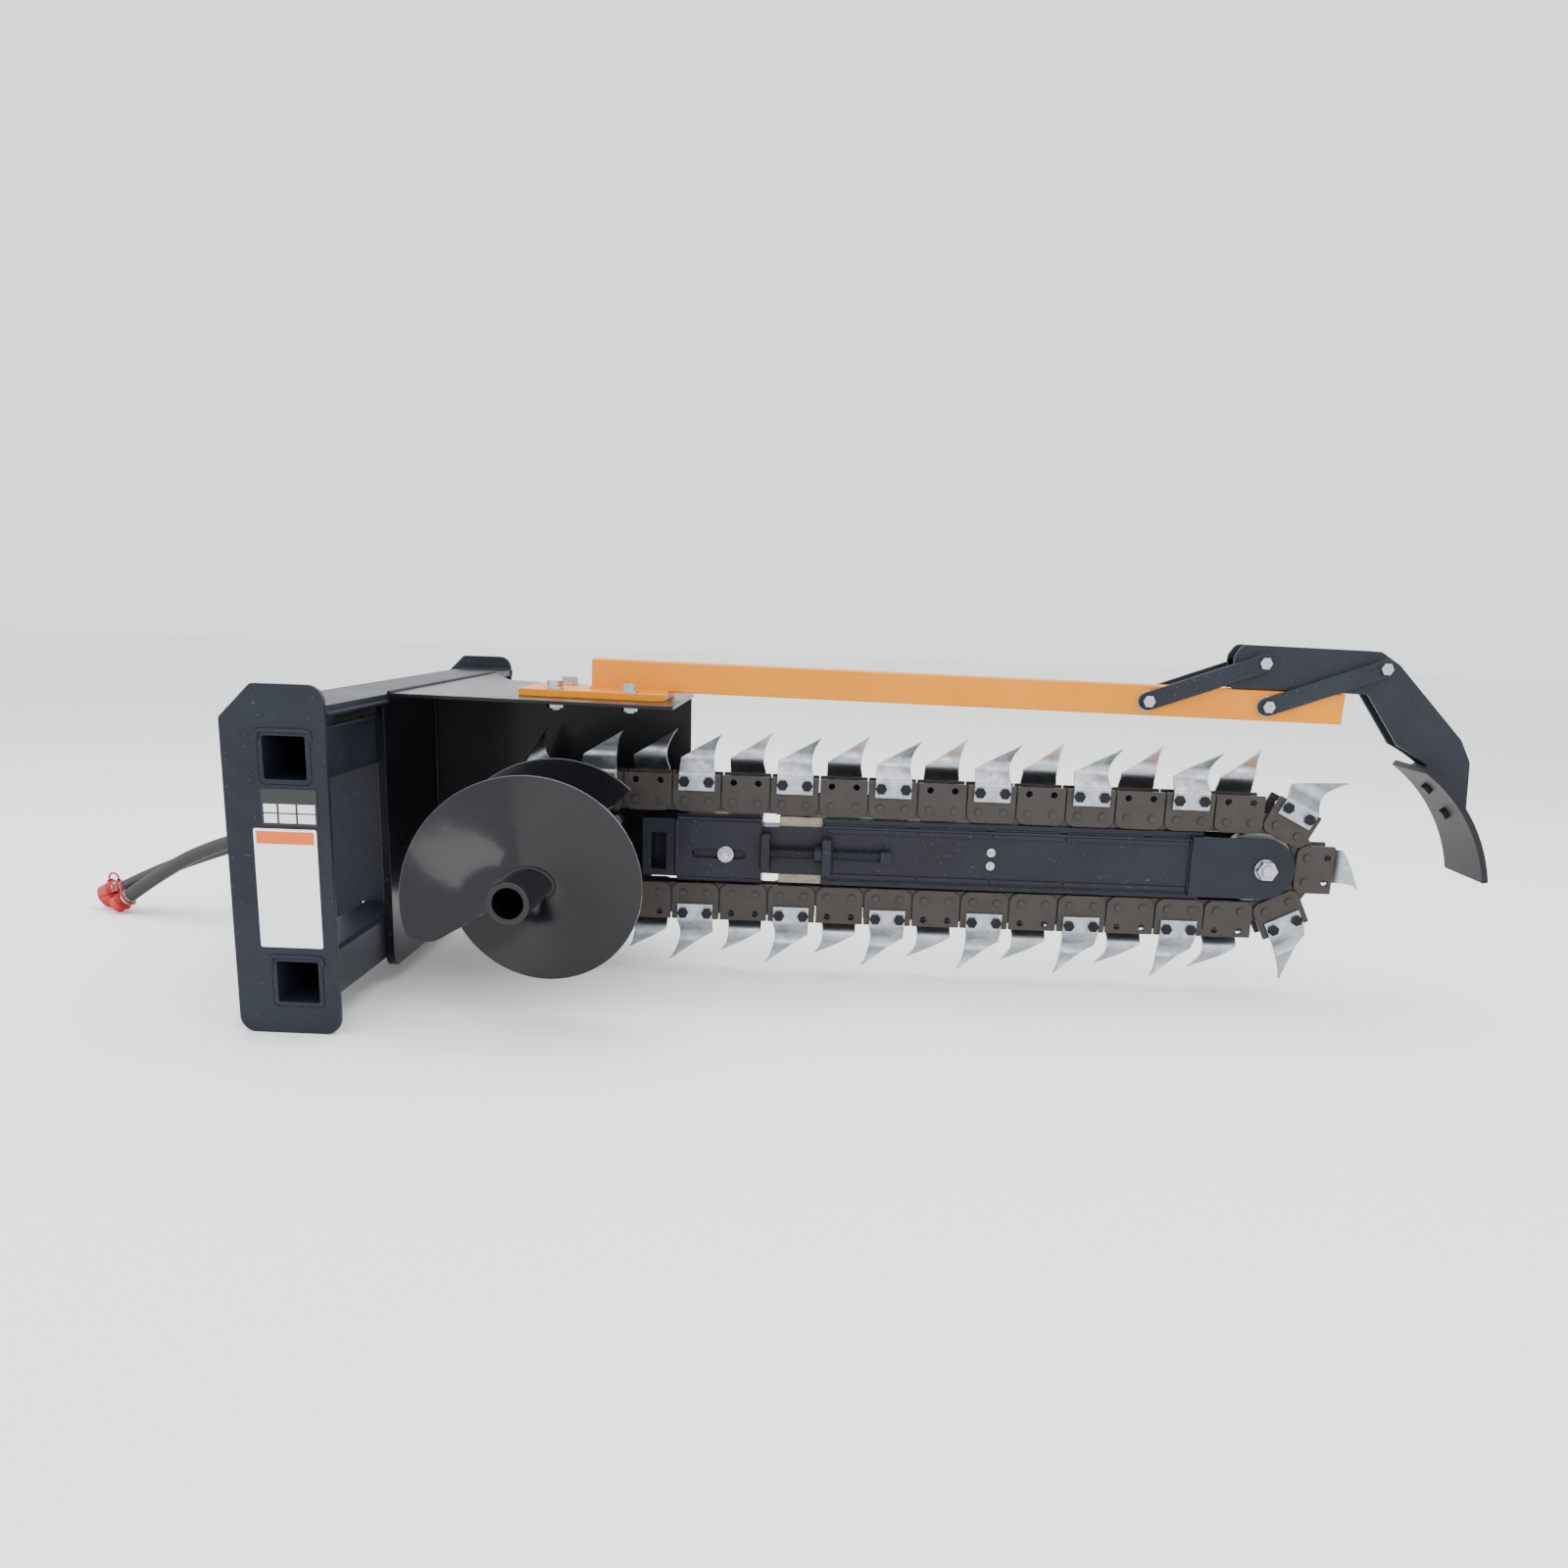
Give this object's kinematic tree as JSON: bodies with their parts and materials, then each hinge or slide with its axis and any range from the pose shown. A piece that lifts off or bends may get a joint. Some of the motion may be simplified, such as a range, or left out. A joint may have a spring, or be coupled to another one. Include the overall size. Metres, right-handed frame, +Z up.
{
  "type": "skid steer trencher attachment",
  "caption": "Chain trencher attachment for a skid-steer loader, with cup teeth, side spoil auger, adjustable boom, folding crumber bar and two hydraulic hoses.",
  "frame": {"origin": "middle of the mount's width, at the rear edge of the side plates, on the surface it stands on", "axes": "+X from the loader out along the digging boom, +Y away from the auger side, +Z up"},
  "size_m": [2.5756, 1.216, 0.5955],
  "materials": {
    "mount_paint": "satin",
    "housing_paint": "gloss",
    "motor_paint": "satin",
    "zinc": "satin",
    "steel": "satin",
    "black_bolts": "satin",
    "chain_steel": "satin",
    "tooth_steel": "satin",
    "boom_paint": "satin",
    "bare_steel": "matte",
    "orange_paint": "satin",
    "hose_rubber": "matte",
    "cap_rubber": "satin",
    "label_film": "matte"
  },
  "bodies": {
    "frame": {"side_plate_near": "mount_paint", "side_plate_far": "mount_paint", "cross_tube_upper": "mount_paint", "cross_tube_lower": "mount_paint", "mount_top_plate": "mount_paint", "hook_lip": "mount_paint", "lock_pin_sill": "mount_paint", "mount_ribs": "mount_paint", "housing_back_plate": "housing_paint", "housing_top_plate": "housing_paint", "housing_side_wall": "housing_paint", "bearing_housing": "housing_paint", "hydraulic_motor": "motor_paint", "motor_end_cover": "motor_paint", "motor_bolts": "zinc", "flange_bolts": "zinc", "bar_pivot_bolts": "zinc", "port_fittings": "zinc", "hose_couplers": "zinc", "tooth_bolts": "black_bolts", "drive_sprocket": "steel", "chain_outer_plates": "chain_steel", "chain_inner_plates": "chain_steel", "chain_rollers": "chain_steel", "chain_pins": "chain_steel", "cup_teeth": "tooth_steel", "boom_base": "boom_paint", "boom_sleeve": "boom_paint", "tension_stop_block": "boom_paint", "crumber_flange": "orange_paint", "crumber_bar": "orange_paint", "hose_far": "hose_rubber", "hose_near": "hose_rubber", "dust_caps": "cap_rubber", "blank_plates": "label_film"},
    "head_drive": {"head_shaft": "steel", "auger_tube": "housing_paint", "auger_flight": "housing_paint", "auger_lock_bolt": "zinc"},
    "boom": {"boom_slide_tube": "bare_steel", "boom_beam": "boom_paint", "wear_rails": "boom_paint", "slide_strips": "bare_steel", "boom_guide_strips": "boom_paint", "tension_bracket": "boom_paint", "tension_lock_nut": "black_bolts", "clamp_bolt": "zinc", "grease_plugs": "zinc", "nose_yokes": "boom_paint", "nose_axle": "zinc", "idler_bearings": "steel"},
    "nose_idler": {"idler_roller": "steel"},
    "tension_screw": {"tension_screw": "black_bolts"},
    "rear_link": {"rear_links": "mount_paint", "rear_arm_bolt": "zinc"},
    "front_link": {"front_links": "mount_paint", "front_arm_bolt": "zinc"},
    "crumber_arm": {"crumber_arm": "mount_paint", "crumber_shoe": "boom_paint", "shoe_bolts": "black_bolts"}
  },
  "joints": [
    {"name": "head_shaft_turn", "type": "hinge", "parent": "frame", "child": "head_drive", "pos_m": [0.4208, -0.112, 0.2252], "axis": [0, 1, 0], "continuous": true},
    {"name": "boom_slide", "type": "slide", "parent": "frame", "child": "boom", "axis": [1, 0, 0], "range_m": [-0.026, 0]},
    {"name": "nose_idler_turn", "type": "hinge", "parent": "boom", "child": "nose_idler", "pos_m": [1.6035, -0.112, 0.2252], "axis": [0, 1, 0], "continuous": true},
    {"name": "tension_screw_turn", "type": "hinge", "parent": "frame", "child": "tension_screw", "pos_m": [0.9, -0.162, 0.224], "axis": [1, 0, 0], "continuous": true},
    {"name": "rear_link_swing", "type": "hinge", "parent": "frame", "child": "rear_link", "pos_m": [1.38118, -0.112, 0.4997], "axis": [0, -1, 0], "range_deg": [0, 50]},
    {"name": "front_link_swing", "type": "hinge", "parent": "frame", "child": "front_link", "pos_m": [1.57816, -0.112, 0.49695], "axis": [0, -1, 0], "range_deg": [0, 50]},
    {"name": "crumber_arm_swing", "type": "hinge", "parent": "rear_link", "child": "crumber_arm", "pos_m": [1.56536, -0.112, 0.56674], "axis": [0, -1, 0], "range_deg": [-50, 0]}
  ],
  "couplings": [
    {"joint": "nose_idler_turn", "follows": "head_shaft_turn", "ratio": 1.0565},
    {"joint": "front_link_swing", "follows": "rear_link_swing", "ratio": 1},
    {"joint": "crumber_arm_swing", "follows": "rear_link_swing", "ratio": -1}
  ]
}
